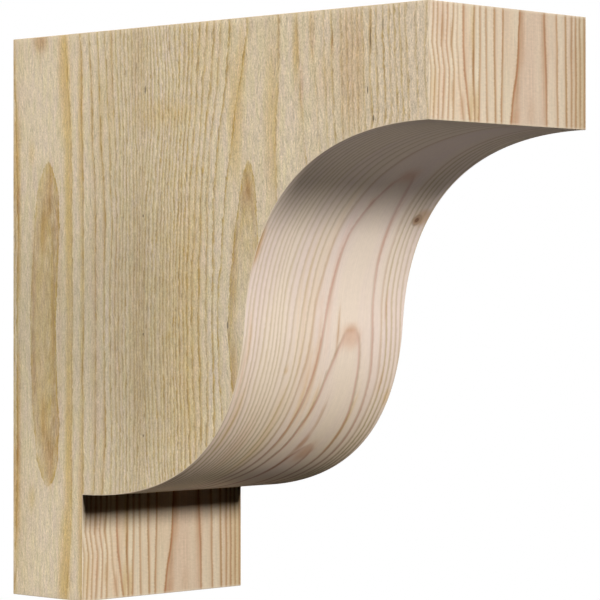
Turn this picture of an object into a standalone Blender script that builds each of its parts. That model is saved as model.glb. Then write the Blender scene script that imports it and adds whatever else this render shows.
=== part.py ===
"""Timber corbel bracket: one block of softwood with a square nose, a square leg and an S cut between them.

The back is flat against the wall and the top is flat under the shelf or beam that it carries.
+Z is up, the corbel reaches out towards -Y, and the origin is the middle of its back face.
"""

import math

import bmesh
import bpy
from mathutils import Vector
from mathutils.geometry import interpolate_bezier

INCH = 0.0254
MM = 0.001

# The block, from one length of nominal six inch timber.
WIDTH = 5.5 * INCH
HEIGHT = 14 * INCH
PROJECTION = 14 * INCH

# The square ends that the S runs between.
NOSE_HEIGHT = 2.625 * INCH
LEG_HEIGHT = 2.625 * INCH
LEG_DEPTH = 2.625 * INCH

# The edges are eased with a pass of sandpaper.
EDGE_EASE = 1.0 * MM
EASE_STEPS = 2

# The S is two Bezier curves that meet at the waist. Its place and its handles are shares of the
# space between the leg and the nose, so that the S keeps its character at any size.
WAIST_ALONG = 0.498
WAIST_UP = 0.488
WAIST_LEAN = math.radians(4.4)
COVE_NOSE_HANDLE = 0.407
COVE_WAIST_HANDLE = 0.843
BELLY_WAIST_HANDLE = 0.756
BELLY_LEG_HANDLE = 0.55
STEPS_PER_CURVE = 28

WOOD_COLOUR = (0.60, 0.47, 0.31, 1.0)
WOOD_ROUGHNESS = 0.62


def clear_scene():
    for old in list(bpy.data.objects):
        bpy.data.objects.remove(old)


def softwood():
    """Sanded softwood, straight from the saw and with no finish on it."""
    material = bpy.data.materials.new("softwood")
    material.use_nodes = True
    shader = material.node_tree.nodes["Principled BSDF"]
    shader.inputs["Base Color"].default_value = WOOD_COLOUR
    shader.inputs["Roughness"].default_value = WOOD_ROUGHNESS
    shader.inputs["Metallic"].default_value = 0.0
    return material


def s_curve():
    """The S as (out from the wall, up from the bottom), from the leg's shoulder to the nose."""
    shoulder = Vector((LEG_DEPTH, LEG_HEIGHT))
    nose = Vector((PROJECTION, HEIGHT - NOSE_HEIGHT))
    run, rise = nose - shoulder
    waist = shoulder + Vector((WAIST_ALONG * run, WAIST_UP * rise))
    lean = Vector((math.sin(WAIST_LEAN), math.cos(WAIST_LEAN)))

    belly_run, belly_rise = waist - shoulder
    belly = interpolate_bezier(
        shoulder,
        shoulder + Vector((BELLY_LEG_HANDLE * belly_run, 0)),
        waist - BELLY_WAIST_HANDLE * belly_rise * lean,
        waist,
        STEPS_PER_CURVE + 1,
    )
    cove_run, cove_rise = nose - waist
    cove = interpolate_bezier(
        waist,
        waist + COVE_WAIST_HANDLE * cove_rise * lean,
        nose - Vector((COVE_NOSE_HANDLE * cove_run, 0)),
        nose,
        STEPS_PER_CURVE + 1,
    )
    return belly + cove[1:]


def side_outline():
    """The corbel seen from its side, as (out from the wall, up from the bottom)."""
    back_and_leg = [(0, HEIGHT), (0, 0), (LEG_DEPTH, 0)]
    return [Vector(corner) for corner in back_and_leg] + s_curve() + [Vector((PROJECTION, HEIGHT))]


def sawn_block():
    """The outline cut through the full width of the timber, with its middle at the origin."""
    block = bmesh.new()
    outline = [
        block.verts.new((-WIDTH / 2, -out, up - HEIGHT / 2)) for out, up in side_outline()
    ]
    side = block.faces.new(outline)
    sweep = bmesh.ops.extrude_face_region(block, geom=[side])
    far_side = [piece for piece in sweep["geom"] if isinstance(piece, bmesh.types.BMVert)]
    bmesh.ops.translate(block, verts=far_side, vec=(WIDTH, 0, 0))
    bmesh.ops.recalc_face_normals(block, faces=block.faces)
    return block


def ease_edges(block):
    """Rounds every outside corner and leaves the inside one at the leg's shoulder as it was sawn."""
    smooth_step = math.radians(30)
    outside = [
        edge for edge in block.edges if edge.is_convex and edge.calc_face_angle() > smooth_step
    ]
    bmesh.ops.bevel(
        block,
        geom=outside,
        offset=EDGE_EASE,
        offset_type="OFFSET",
        segments=EASE_STEPS,
        profile=0.5,
        affect="EDGES",
        clamp_overlap=True,
    )


def make_corbel():
    block = sawn_block()
    ease_edges(block)
    mesh = bpy.data.meshes.new("corbel")
    block.to_mesh(mesh)
    block.free()
    mesh.materials.append(softwood())
    mesh.shade_smooth()
    mesh.set_sharp_from_angle(angle=math.radians(30))
    corbel = bpy.data.objects.new("corbel", mesh)
    bpy.context.scene.collection.objects.link(corbel)
    return corbel


def main():
    clear_scene()
    make_corbel()


if __name__ == "__main__":
    main()
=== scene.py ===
"""The looks of the timber corbel: its wood, surface by surface, and the studio that it is pictured in.

The block is modelled again, finely, from the outline of the CAD solid that it replaces. Each of its
surfaces then gets growth rings in the places where a saw would have met them.
Ring places are in millimetres, because that is how a joiner would read them off the timber.
"""

import math
from collections import namedtuple

import bpy
import numpy as np
from bpy.props import FloatProperty, FloatVectorProperty, PointerProperty
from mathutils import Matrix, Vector
from mathutils.geometry import delaunay_2d_cdt


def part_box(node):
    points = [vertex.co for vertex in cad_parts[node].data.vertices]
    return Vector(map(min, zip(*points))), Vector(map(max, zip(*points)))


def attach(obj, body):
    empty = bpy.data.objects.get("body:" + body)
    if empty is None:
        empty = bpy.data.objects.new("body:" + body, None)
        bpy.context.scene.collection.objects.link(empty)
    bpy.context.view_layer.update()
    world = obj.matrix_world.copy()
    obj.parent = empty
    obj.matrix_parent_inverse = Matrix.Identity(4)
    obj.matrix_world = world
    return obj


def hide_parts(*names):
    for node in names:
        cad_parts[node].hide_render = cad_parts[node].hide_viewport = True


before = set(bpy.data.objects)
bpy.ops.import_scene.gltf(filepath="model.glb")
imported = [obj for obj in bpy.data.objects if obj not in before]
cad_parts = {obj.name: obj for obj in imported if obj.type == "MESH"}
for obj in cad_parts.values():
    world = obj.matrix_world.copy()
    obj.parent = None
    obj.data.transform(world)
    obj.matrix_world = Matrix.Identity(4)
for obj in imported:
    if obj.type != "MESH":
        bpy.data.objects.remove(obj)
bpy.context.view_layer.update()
NODE = "corbel"
BODY = "root"

bl_info = {
    "name": "Timber Corbel",
    "version": (1, 0, 0),
    "blender": (4, 5, 0),
    "location": "3D View > Sidebar > Corbel",
    "description": "Models and finishes a sawn softwood corbel and sets up its studio",
    "category": "Object",
}

MM = 0.001
LOW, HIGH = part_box(NODE)
WIDTH = HIGH.x - LOW.x
REACH = HIGH.y - LOW.y
HEIGHT = HIGH.z - LOW.z

# The finishes of the block, in the order of its material slots.
SIDE = 0
FRONT = 1
S_FACE = 2
END_GRAIN = 3


def wood(red, green, blue):
    """A colour given in screen values from 0 to 255, as the linear values that a shader takes."""
    return tuple((value / 255) ** 2.2 for value in (red, green, blue)) + (1.0,)


# Growth rings. Places and distances are in millimetres.
# A row says where the dark lines of the rings cross the wood at one place along the grain: where the
# heart lies, the ring count there, the count of the lines nearest to it, and the lines on either side,
# from the heart outwards.
Row = namedtuple("Row", "along heart centre first left right")
# A board joins rows, and says how hard and dark its lines are on either side of the heart, from the
# ring count first upwards. Its bends shape the arches on either side, and its pitch is the distance
# between rings beyond the last line.
Board = namedtuple("Board", "rows hardness first bends pitch")

# The side was cut through two hearts, with a seam between their rings. The grain at the bottom is
# that of the top the other way up, so its rows end at the fold.
SIDE_SEAM = 122.6
SIDE_FOLD = 183.5
REAR_ROWS = (
    Row(0, 28, 0.5, 1, (-1.5,), (51, 65, 73, 81, 88, 94, 98, 102, 105.5, 109, 112, 115.5, 118, 121)),
    Row(15, 28, 0.45, 1, (0,), (52, 66, 74, 82, 88.5, 94, 98, 102, 105.5, 109, 112, 115.5, 118, 121)),
    Row(60, 34, 0.14, 1, (2.6,),
        (56, 66, 76, 83.5, 91.5, 96.5, 101, 104, 107, 110, 113, 115.5, 118, 121)),
    Row(100, 35, -0.12, 0, (23.5, 4),
        (43.6, 56.5, 67, 78, 86.5, 93, 97.5, 101.2, 104, 107.3, 110, 113.5, 116.5, 119, 121.5)),
    Row(120, 32, -0.26, 0, (20.8, 4.3),
        (44.8, 56.7, 67, 79, 88, 93.8, 98.2, 101.5, 104, 107.3, 110, 114.3, 117.2, 119.2, 122)),
    Row(150, 31, -0.4, 0, (18.2, 4.3),
        (42.6, 57, 67.4, 79.2, 87.4, 93, 97.6, 100.8, 103.8, 107, 110.5, 114.3, 117, 119, 121.7)),
    Row(184, 30, -0.45, 0, (16.9, 3.2),
        (41.2, 57.3, 67.7, 79.2, 87, 92, 97, 100, 103.6, 106.5, 111, 114.3, 117, 119, 121.4)),
)
REAR_HARDNESS = (
    (0.6, 0.75),
    (0.95, 0.55, 0.75, 0.65, 0.75, 0.65, 0.6, 0.6, 0.6, 0.7, 0.5, 0.6, 0.6, 0.6, 0.6),
)
REAR = Board(REAR_ROWS, REAR_HARDNESS, first=0, bends=(2.0, 2.0), pitch=3.1)
FORE_ROWS = (
    Row(9, 222, 0.6, 1,
        (211.5, 196.5, 189.4, 183.8, 178, 171.5, 165.8, 162.4, 158.8, 154.2, 150, 145, 142.8, 140.3, 137,
         133.4, 130.7, 128, 125.4),
        (238.6, 253.4, 264, 274.4, 280.7, 288, 292.4, 297, 301, 305, 311.3, 315.8, 321.1, 325.6, 329.5,
         333.8, 338.3, 346.3, 354.3)),
    Row(35, 218, 0.35, 1,
        (207.1, 194.6, 186.5, 181.2, 174.6, 169.4, 164.4, 161, 157.5, 153.7, 151.7, 148.6, 144.8, 142.3,
         139.4, 136, 132.5, 129.4, 126),
        (238.4, 254.8, 268.2, 276.3, 282, 289.3, 293.4, 297.5, 302, 306.5, 311.3, 316.5, 321.9, 326.6,
         331, 335, 339.3, 346, 352.8)),
    Row(65, 214, 0.12, 1,
        (200, 188.3, 182.2, 177, 172.2, 167, 162.4, 158.8, 155.4, 152.6, 149.5, 147.2, 144, 141.4, 139.5,
         136, 131.6, 129, 126.3),
        (235.8, 258.3, 271, 277.5, 283.5, 290, 295.5, 299, 303, 308, 313.5, 318, 323.5, 328, 333, 337,
         341, 347.5, 355)),
    Row(100, 213, -0.1, 0,
        (208, 194.6, 184.3, 178, 173.3, 168.5, 163.3, 159.3, 155.7, 153.9, 149.5, 146.8, 144, 141.3,
         138.7, 136, 131.6, 128, 125.4, 121.8),
        (219, 237, 264, 275, 281, 286, 292)),
    Row(155, 210, -0.8, 0,
        (198.6, 188.5, 183.4, 178, 171.5, 165.5, 161, 158, 154.4, 151.3, 149.5, 146, 143.7, 140, 138,
         133, 129.8, 126, 123),
        (222, 238, 264)),
    Row(184, 210, -1.0, 0,
        (196, 187, 182.5, 177, 170.5, 164.5, 160.5, 157.4, 154, 151, 149, 145.6, 143, 139.6, 137,
         132.6, 129.4, 125.8, 123),
        (224, 240, 264)),
)
FORE_HARDNESS = (
    (0.8, 0.75, 0.95, 0.6, 0.85, 0.65, 0.8, 0.7, 0.85, 0.7, 0.8, 0.6, 0.65, 0.75, 0.6, 0.7, 0.65, 0.6,
     0.7, 0.6),
    (0.8, 0.55, 0.5, 0.3, 0.35, 0.6, 0.5, 0.5, 0.4, 0.5, 0.45, 0.85, 0.6, 0.8, 0.55, 0.75, 0.6, 0.55,
     0.5, 0.5),
)
FORE = Board(FORE_ROWS, FORE_HARDNESS, first=0, bends=(2.0, 2.0), pitch=3.2)

# The nose and the leg were planed from the same board, so their rings are the same.
FRONT_ROWS = (
    Row(7, 89, 0.05, 1, (79, 63.4, 56, 48.4, 43.4, 38.4, 29, 23.6, 20.6, 15.5, 11.4, 7, 3.5, -0.5),
        (100.8, 112, 120.6, 126.4, 130, 133.8, 138)),
    Row(23, 89, 0.05, 1, (77.4, 63, 56, 48.7, 43.4, 37.8, 29, 23.2, 18.8, 14.5, 10.2, 6.2, 2.5, -1.5),
        (101.8, 112.7, 120.8, 126.2, 130.2, 134.4, 138.2)),
    Row(38, 89, 0.05, 1, (75.3, 62.7, 56.6, 49, 43.2, 37.6, 30, 24.8, 21.2, 16.8, 12.9, 8.6, 5, 1.6),
        (102.6, 112.8, 121, 126.4, 130.3, 134.4, 138.2)),
    Row(57, 89, 0.05, 1, (71.9, 62.4, 56.9, 49.4, 42.4, 38.6, 33, 27.8, 20.4, 16, 11.5, 7.7, 3.8, 0.9),
        (103, 113, 121.3, 126.2, 130.2, 134.4, 138)),
    Row(67, 89, 0.05, 1, (70.2, 62.2, 57, 49.6, 42, 38.8, 35, 29.5, 20, 15.6, 11, 7.3, 3.4, 0.5),
        (103.2, 113.2, 121.5, 126.2, 130.2, 134.4, 138)),
)
FRONT_HARDNESS = (
    (0.9, 0.85, 0.8, 0.7, 0.7, 0.75, 0.85, 0.4, 0.7, 0.65, 0.65, 0.7, 0.65, 0.55),
    (0.75, 0.75, 0.85, 0.75, 0.8, 0.6, 0.7),
)
PLANED = Board(FRONT_ROWS, FRONT_HARDNESS, first=1, bends=(2.0, 2.0), pitch=4.0)

# Three arches climb the S, one inside the other. Rows are along the curve from the nose.
S_ROWS = (
    Row(0, 93, 0.9, 1, (78, 68, 60, 54, 47.5, 42.5, 37.5, 33, 28.5, 24.5, 20.5, 16.5, 12, 8.5, 5),
        (108, 115, 119, 123.5, 127, 132, 137)),
    Row(60, 93, 0.4, 1, (74, 65, 58, 51.5, 45.5, 40.5, 35.5, 31, 27.5, 23.6, 19.8, 16, 11.5, 8, 4.8, 1),
        (112, 117.6, 122, 126.5, 129.5, 134.5)),
    Row(103, 93, 0.0, 1,
        (69.5, 61, 54.5, 48, 41.5, 37, 32.5, 29.5, 26.5, 23, 19.2, 15.5, 11, 7.4, 4.4, 0.6),
        (115, 119.5, 124.5, 128.3, 133, 138)),
    Row(150, 93, -0.42, 0,
        (74.6, 64, 56.7, 51.1, 44.9, 38.7, 34.5, 28.7, 26.2, 22.8, 19, 15.4, 10.8, 7.2, 4.2, 0.4),
        (107.6, 117.3, 121.5, 126.2, 129.5, 135, 139.5)),
    Row(195, 93, -0.81, 0,
        (70.3, 59.3, 54.2, 49.1, 42, 36.4, 31.7, 28.9, 25.7, 22.5, 18.6, 14.2, 10.5, 6.2, 3, -1),
        (110.5, 119, 123, 128, 132.2, 136.4)),
    Row(243, 92.5, -1.38, -1,
        (75.6, 63.9, 53.9, 49.1, 45, 38.5, 33.5, 30, 27.2, 23.7, 20.2, 15.8, 11.7, 9.2, 5, 0.2),
        (104.8, 116, 123.3, 127.4, 131.7, 135.7)),
    Row(278, 91.5, -1.82, -1,
        (69.2, 59.6, 51.1, 45.6, 41, 36.4, 32.4, 28.2, 25.4, 22, 19.4, 16.7, 12.5, 8, 4, 0.2),
        (109.1, 118.3, 124.8, 128.8, 133, 136.4)),
    Row(306, 90, -2.15, -2,
        (81.4, 64.6, 55.9, 47.6, 43.1, 38.2, 34.6, 31, 27.6, 24, 20.5, 18.3, 16, 11.7, 7.8, 3, -0.5),
        (97, 110.6, 119.3, 125.2, 129.2, 132.8, 136.8)),
    Row(335, 89, -2.45, -2,
        (77.6, 61, 52, 45.4, 40, 35.1, 31, 28.5, 26, 22.5, 20, 17.5, 14.5, 11, 7, 3, -1),
        (98, 110, 119, 126.4, 130, 134)),
    Row(400, 88, -2.9, -2, (72, 54, 46, 41, 36, 32, 28, 25, 22, 19, 16, 13, 10, 7, 4),
        (100, 110, 119, 127, 131)),
)
S_HARDNESS = (
    (0.85, 0.8, 0.75, 0.65, 0.6, 0.65, 0.6, 0.6, 0.65, 0.6, 0.55, 0.6, 0.65, 0.65, 0.65, 0.65, 0.6),
    (0.75, 0.75, 0.7, 0.6, 0.9, 0.75, 0.7, 0.65),
)
CURVED = Board(S_ROWS, S_HARDNESS, first=-2, bends=(2.0, 3.0), pitch=4.0)

# The two hearts, seen on the end grain: across from the middle plane and out from the wall.
HEARTS = ((-10.0, 36.0), (-6.0, 213.0))
HEART_RING_PITCH = 4.0
HEART_DEPTH = 60.0

# The stains: place across, place along, half size across, half size along, ochre, brown and pink.
# Places on the side are out from the wall, and down from the top or up from the bottom.
SIDE_STAINS = (
    (0, 12, 2.2, 30, 0.3, 0.3, 0.2), (3.4, 78, 3.4, 38, 0.9, 0.2, 0.3),
    (5.2, 104, 2.2, 10, 0, 0.5, 0.3), (5, 140, 2.4, 30, 0.6, 0.2, 0.2),
    (26.8, 2, 7, 7.5, 0.3, 0.95, 0.4), (26.5, 17, 1, 7, 0, 0.3, 0), (18, 74, 3.5, 7, 0.5, 0.1, 0),
    (38.5, 176, 2.2, 42, 0.8, 0.1, 0), (29, 124, 2.4, 16, 0.5, 0.35, 0),
    (27, 160, 8, 55, 0.5, 0.05, 0), (33, 108, 5, 18, 0.6, 0.1, 0), (19, 150, 2, 30, 0, 0.2, 0),
    (36, 94, 3.5, 14, 0, 0.1, 0.6), (42.5, 118, 2, 22, 0, 0.1, 0.5), (20, 160, 2, 40, 0, 0.1, 0.3),
    (45, 150, 3, 45, 0, 0, 0.35), (48.5, 15, 5, 46, 0.9, 0, 0.1), (53, 80, 4, 70, 0.8, 0, 0),
    (54, 165, 3.5, 70, 0.6, 0, 0), (65, 60, 3, 60, 0.6, 0.05, 0.2), (66.5, 170, 2, 60, 0.5, 0, 0),
    (84, 62, 3, 32, 0.4, 0.1, 0), (75.5, 50, 1.8, 30, 0.4, 0.1, 0.1),
    (79, 150, 5, 60, 0, 0.05, 0.35), (87, 120, 2, 30, 0.2, 0.1, 0.3),
    (93, 30, 2.5, 45, 0.3, 0.05, 0.2), (98, 170, 6, 50, 0, 0.05, 0.3),
    (117, 20, 7, 45, 0.1, 0.2, 0), (118, 184, 8, 90, 0.2, 0.25, 0), (143, 54, 24, 7, 0.5, 0, 0),
    (150, 184, 20, 75, 0.3, 0, 0), (166, 145, 11, 55, 0.4, 0, 0), (180, 20, 16, 30, 0.3, 0, 0),
    (202.5, 60, 6, 34, 0.85, 0, 0), (208, 24, 4, 24, 0.6, 0, 0),
    (213, 102, 4.5, 10, 0.3, 0.45, 0.3), (201, 150, 3, 30, 0.3, 0.25, 0.1),
    (212, 130, 8, 40, 0.15, 0.05, 0), (232.5, 62, 6, 44, 0.6, 0, 0.05),
    (238.6, 12, 1.4, 24, 0, 0.25, 0.2), (252.4, 22, 2.8, 20, 0.7, 0.12, 0.1),
    (257, 45, 1.6, 14, 0, 0.2, 0.6), (265.5, 12, 2.5, 16, 0.3, 0.1, 0.3),
    (276, 40, 8, 14, 0.1, 0, 0.3), (281.6, 21, 1.1, 5, 0.3, 0.75, 0.4),
    (294, 30, 8, 40, 0.1, 0.05, 0.45), (303, 30, 3, 40, 0.2, 0.1, 0.2),
    (311.3, 12, 1.4, 14, 0.5, 0.35, 0),
)
# Places on the front are from the left edge, and down from the top.
FRONT_STAINS = (
    (26, 50, 6, 20, 0, 0, 0.4), (80.5, 12, 3, 24, 0, 0.2, 0.7), (76, 50, 2.8, 20, 0, 0.25, 0.6),
    (31.5, 22, 4, 30, 0, 0.05, 0.55), (71, 25, 4.5, 40, 0, 0, 0.35), (56, 35, 5, 60, 0, 0, 0.25),
    (101.5, 22, 3.5, 34, 0, 0.15, 0.6), (37.5, 36, 0.9, 12, 0.2, 0.75, 0.2),
    (36, 58, 2.2, 14, 0.6, 0.2, 0.1), (41, 60, 1.6, 14, 0.6, 0.25, 0),
    (37, 14, 2, 18, 0.5, 0.15, 0), (11, 15, 1.5, 9, 0.2, 0.55, 0.1),
    (18.6, 19, 1.3, 8, 0.2, 0.45, 0.1), (19.4, 50, 1.4, 8, 0.2, 0.45, 0.1),
    (12, 48, 1.6, 12, 0, 0.25, 0.5), (28, 60, 2.5, 8, 0, 0.2, 0.5), (4, 50, 2.5, 16, 0.4, 0.1, 0),
    (89, 35, 10, 80, 0, 0.06, 0.12), (89, 60, 3, 9, 0, 0.18, 0.15), (74, 66, 6, 7, 0, 0.1, 0.4),
    (57, 3.2, 2.2, 0.8, 0.2, 0.55, 0), (139, 45, 14, 50, 0.35, 0.25, 0.1),
)
# Places on the S are from the left edge, and along the curve from the nose.
S_STAINS = (
    (57, 202, 4, 56, 0.25, 0, 0), (50, 205, 2, 60, 0.35, 0, 0), (62, 150, 2, 40, 0.25, 0, 0),
    (45, 190, 1.4, 40, 0.3, 0, 0), (40, 236, 1.4, 2.2, 0.6, 0.35, 0), (94, 104, 8, 7, 0, 0.2, 0.7),
    (92.5, 216, 9, 7, 0, 0.2, 0.9), (92, 211, 6, 2.5, 0.1, 0.25, 0.4),
    (92, 302, 6, 10, 0, 0.35, 1), (80, 128, 1.8, 4, 0, 0.15, 0.7), (85, 112, 1.8, 4, 0, 0.1, 0.5),
    (81, 212, 1.1, 13, 0.1, 0.9, 0.1), (83.5, 271, 1, 14, 0.1, 0.9, 0.2),
    (82.5, 290, 2.2, 9, 0, 0.6, 0.9), (80.5, 311, 1.6, 18, 0, 0.8, 0.3),
    (0.8, 160, 2.2, 13, 0.9, 0.5, 0.3), (72, 180, 2.2, 40, 0, 0.05, 0.5),
    (65, 235, 2.2, 40, 0.35, 0.05, 0.25), (108, 150, 1.6, 26, 0, 0.05, 0.6),
    (123, 198, 1.2, 9, 0, 0.15, 0.7), (127, 245, 1.2, 9, 0.1, 0.15, 0.6),
    (137, 256, 2.5, 6, 0.6, 0.1, 0), (5, 215, 1.4, 14, 0.3, 0.1, 0.3),
    (8, 270, 2.5, 24, 0.5, 0.1, 0), (3, 240, 1, 16, 0.2, 0.3, 0.2), (43, 285, 4, 40, 0.4, 0.05, 0),
    (60, 262, 1.6, 30, 0.6, 0.1, 0), (72, 262, 1.6, 18, 0.5, 0.15, 0.2),
    (109.5, 278, 1.5, 24, 0.7, 0.1, 0), (60, 240, 6, 12, 0, 0, 0.3), (25, 290, 6, 25, 0, 0, 0.4),
)

# The washes darken the wood. The side's is deepest in a band near the fold, given by its place and half
# width, and two fainter stripes run down it, given by strength, place and half width.
SIDE_DARK_BAND = (184, 82)
SIDE_DARK_STRIPES = ((0.25, 112, 34), (0.1, 293, 18))
# Lines drawn through points of (place, strength).
SIDE_WASH = ((0, 0.9), (90, 1.0), (122, 1.0), (150, 0.5), (215, 0.3))
FRONT_WASH = (
    (0, 0.0), (22, 0.0), (35, 0.25), (70, 0.4), (82, 0.65), (104, 0.6), (110, 0.5), (139, 0.95),
)
# The S's wash darkens its lower belly a little, and its steep rise at the foot, next to the leg, is
# painted shade.
S_WASH_AND_FOOT_SHADE = ((200, 0.0), (250, 0.1), (300, 0.2), (350, 0.1), (380, 1.0))
S_OCHRE = ((215, 0.0), (300, 0.38))
# Brown at the foot of the S, next to the leg, is painted shade.
S_FOOT_PAINTED_SHADE = ((355, 0.0), (385, 0.6))
S_LINES = ((110, 1.0), (130, 0.85), (190, 0.87), (220, 1.0), (250, 1.0), (320, 1.6))
S_LINES_FROM_HEART = ((3, 0.2), (10, 1.0))
# The leg's front has weathered a little yellower and darker than the nose.
LEG_OCHRE = 0.15
LEG_WASH = 0.5

# The waves in a trunk's fibres: height, length along, length across and phase. Each length is that of
# one radian.
SWAYS = ((0.45, 31.0, 47.0, 0.0), (0.22, 11.7, -13.0, 1.3), (0.12, 4.3, 9.0, 0.0))
# The fewest and the most rings to the millimetre that the materials are told of.
LEAST_CROWDING = 0.02
MOST_CROWDING = 0.5

# The columns of the grain, which the materials read at each corner of each face.
RING, HARDNESS, OCHRE, BROWN, PINK, WASH, ACROSS, ALONG, CROWDING = range(9)


def follow(points, place):
    """The value at place of a line drawn through points."""
    places, values = zip(*points)
    return np.interp(place, places, values)


def swell(place, middle, half):
    """1 at the middle of a soft bump, and next to nothing well beyond its half width."""
    return np.exp(-(((place - middle) / half) ** 2))


def rings_at(row, across, bends, pitch):
    """The ring count across one row, which bends away from the heart and then rises by one a line.

    A bend of 1 gives a pointed arch, and a greater one gives a rounder arch."""
    sides = []
    for lines, bend in zip((row.left, row.right), bends):
        places = np.abs(np.array(lines) - row.heart)
        inner = np.linspace(0, 0.9, 10)
        later = np.arange(1, 60)
        counts = [row.centre + (row.first - row.centre) * inner**bend]
        counts += [row.first + np.arange(len(places)), row.first + len(places) - 1 + later]
        places = np.concatenate([inner * places[0], places, places[-1] + pitch * later])
        sides.append(np.interp(np.abs(across - row.heart), places, np.concatenate(counts)))
    return np.where(across < row.heart, *sides)


def read_board(board, across, along):
    """The ring count, the hardness of its line and the heart's place, anywhere on a board."""
    places = [row.along for row in board.rows]
    heart = np.interp(along, places, [row.heart for row in board.rows])
    rings = 0.0
    for row, own_place in zip(board.rows, np.eye(len(places))):
        share = np.interp(along, places, own_place)
        rings = rings + share * rings_at(row, across, board.bends, board.pitch)
    sides = [np.interp(rings, board.first + np.arange(len(side)), side) for side in board.hardness]
    return rings, np.where(across < heart, *sides), heart


def sway(across, along):
    """The slight wander of a tree's fibres as they run up the trunk."""
    return sum(
        height * np.sin(along / long + across / wide + phase) for height, long, wide, phase in SWAYS
    )


def stained(across, along, stains):
    """Ochre, brown and pink from a list of soft marks."""
    total = np.zeros(np.shape(across) + (3,))
    ragged = 1 + 0.12 * np.sin(along / 2.1 + across / 1.7) + 0.1 * np.sin(along / 5.3)
    for middle_across, middle_along, half_across, half_along, *tints in stains:
        reach = ((across - middle_across) / half_across) ** 2
        reach = reach + ((along - middle_along) / half_along) ** 2
        total += np.exp(-((reach * ragged) ** 1.5))[..., None] * np.array(tints)
    return np.clip(total, 0, 1)


def side_grain(out, down):
    """The side that the picture shows: out from the wall, and down from the top."""
    height = np.minimum(down, 2 * SIDE_FOLD - down)
    bent = out + 0.7 * sway(out, down)
    rear_rings, rear_hardness, _ = read_board(REAR, bent, height)
    fore_rings, fore_hardness, _ = read_board(FORE, bent, height)
    behind_seam = out < SIDE_SEAM
    rings = np.where(behind_seam, rear_rings, fore_rings)
    hardness = np.where(behind_seam, rear_hardness, fore_hardness)
    wash = swell(down, *SIDE_DARK_BAND) * follow(SIDE_WASH, out)
    wash += sum(strength * swell(out, *stripe) for strength, *stripe in SIDE_DARK_STRIPES)
    return pack_grain(rings, hardness, stained(out, height, SIDE_STAINS), wash, out, down)


def pack_grain(rings, hardness, stains, wash, across, along):
    """All the grain's columns but the last."""
    shape = np.shape(rings)
    parts = [rings, hardness, *np.moveaxis(stains, -1, 0), wash, across, along]
    return np.stack([np.broadcast_to(part, shape) for part in parts], -1)


def with_crowding(maker, across, along, step=0.4):
    """The grain, and how many rings each millimetre across it holds."""
    grain = maker(across, along)
    rings = [maker(across + side, along)[..., RING] for side in (-step, step)]
    crowding = np.clip(np.abs(rings[1] - rings[0]) / (2 * step), LEAST_CROWDING, MOST_CROWDING)
    return np.concatenate([grain, crowding[..., None]], -1)


def plain_grain(rings, across, along):
    """Grain that no list of marks describes, with the hardness of its rings varied by their number."""
    hardness = 0.55 + 0.25 * np.sin(2.4 * np.floor(rings) + 0.6)
    wash = 0.3 + 0.3 * np.sin(across / 33.0 + 0.7) * np.sin(along / 71.0)
    return pack_grain(rings, hardness, np.zeros(np.shape(rings) + (3,)), wash, across, along)


def far_side_grain(out, down):
    """The far side, which cuts the same two hearts deeper in."""
    bent = out + 1.6 * sway(out + 40, down)
    deep = WIDTH / MM - HEART_DEPTH
    rings = np.minimum(*[np.hypot(deep, bent - heart) for _, heart in HEARTS])
    rings = rings / HEART_RING_PITCH - 0.9 * np.cos((down - 150) / 75.0)
    return plain_grain(rings, out + 500, down)


def back_grain(across, down):
    """The back, which passes close by the rear heart."""
    heart_across, heart_out = HEARTS[0]
    away = across - WIDTH / MM / 2 - heart_across + 1.5 * sway(across, down)
    rings = np.hypot(heart_out, away) / HEART_RING_PITCH - 0.6 * np.sin(down / 60.0)
    return plain_grain(rings, across + 900, down)


def end_grain(across, out):
    """The top and the bottom, with rings round both hearts."""
    centred = across - WIDTH / MM / 2
    wander = 0.6 * np.sin(centred / 17.0) * np.sin(out / 23.0)
    rings = np.minimum(*[np.hypot(centred - x, out - y) for x, y in HEARTS])
    return plain_grain((rings + wander) / HEART_RING_PITCH, across, out)


def front_grain(across, down):
    """The nose and the leg: across from the left edge, and down from the top."""
    bent = across + 0.25 * sway(across, down) + 0.4 * np.sin(down / 6.5) * swell(across, 76, 8)
    rings, hardness, _ = read_board(PLANED, bent, down)
    stains = stained(across, down, FRONT_STAINS)
    return pack_grain(rings, hardness, stains, follow(FRONT_WASH, across), across, down)


def leg_grain(across, down):
    """The front of the leg, with the same rings as the nose."""
    grain = front_grain(across, down)
    grain[..., OCHRE] += LEG_OCHRE
    grain[..., WASH] += LEG_WASH
    return grain


def s_face_grain(across, along):
    """The S: across from the left edge, and along the curve from the nose."""
    bent = across + 0.5 * sway(across, along)
    rings, hardness, heart = read_board(CURVED, bent, along)
    hardness *= follow(S_LINES_FROM_HEART, np.abs(bent - heart))
    hardness *= follow(S_LINES, along)
    stains = stained(across, along, S_STAINS)
    # The wash and the brown at the foot of the S paint shade next to the leg.
    grain = pack_grain(rings, hardness, stains, follow(S_WASH_AND_FOOT_SHADE, along), across, along)
    grain[..., OCHRE] += follow(S_OCHRE, along)
    grain[..., BROWN] += follow(S_FOOT_PAINTED_SHADE, along)
    grain[..., OCHRE:PINK + 1] = np.clip(grain[..., OCHRE:PINK + 1], 0, 1)
    return grain


# The outline, as points out from the wall and up from the bottom, in metres.


def cad_s_curve():
    """The S of the CAD solid, from the leg's shoulder to the bottom of the nose."""
    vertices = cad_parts[NODE].data.vertices
    full_width = min(abs(vertex.co.x) for vertex in vertices)
    ease = HIGH.x - full_width
    rim = {
        (round(HIGH.y - vertex.co.y, 6), round(vertex.co.z - LOW.z, 6))
        for vertex in vertices
        if abs(vertex.co.x) < full_width + 0.1 * ease
    }
    margin = 1.5 * ease
    curve = sorted(
        (out, up)
        for out, up in rim
        if margin < out < REACH - margin and margin < up < HEIGHT - margin
    )
    nose_bottom = min(up for out, up in rim if out > REACH - margin)
    return np.array(curve + [(REACH, nose_bottom)])


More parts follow.
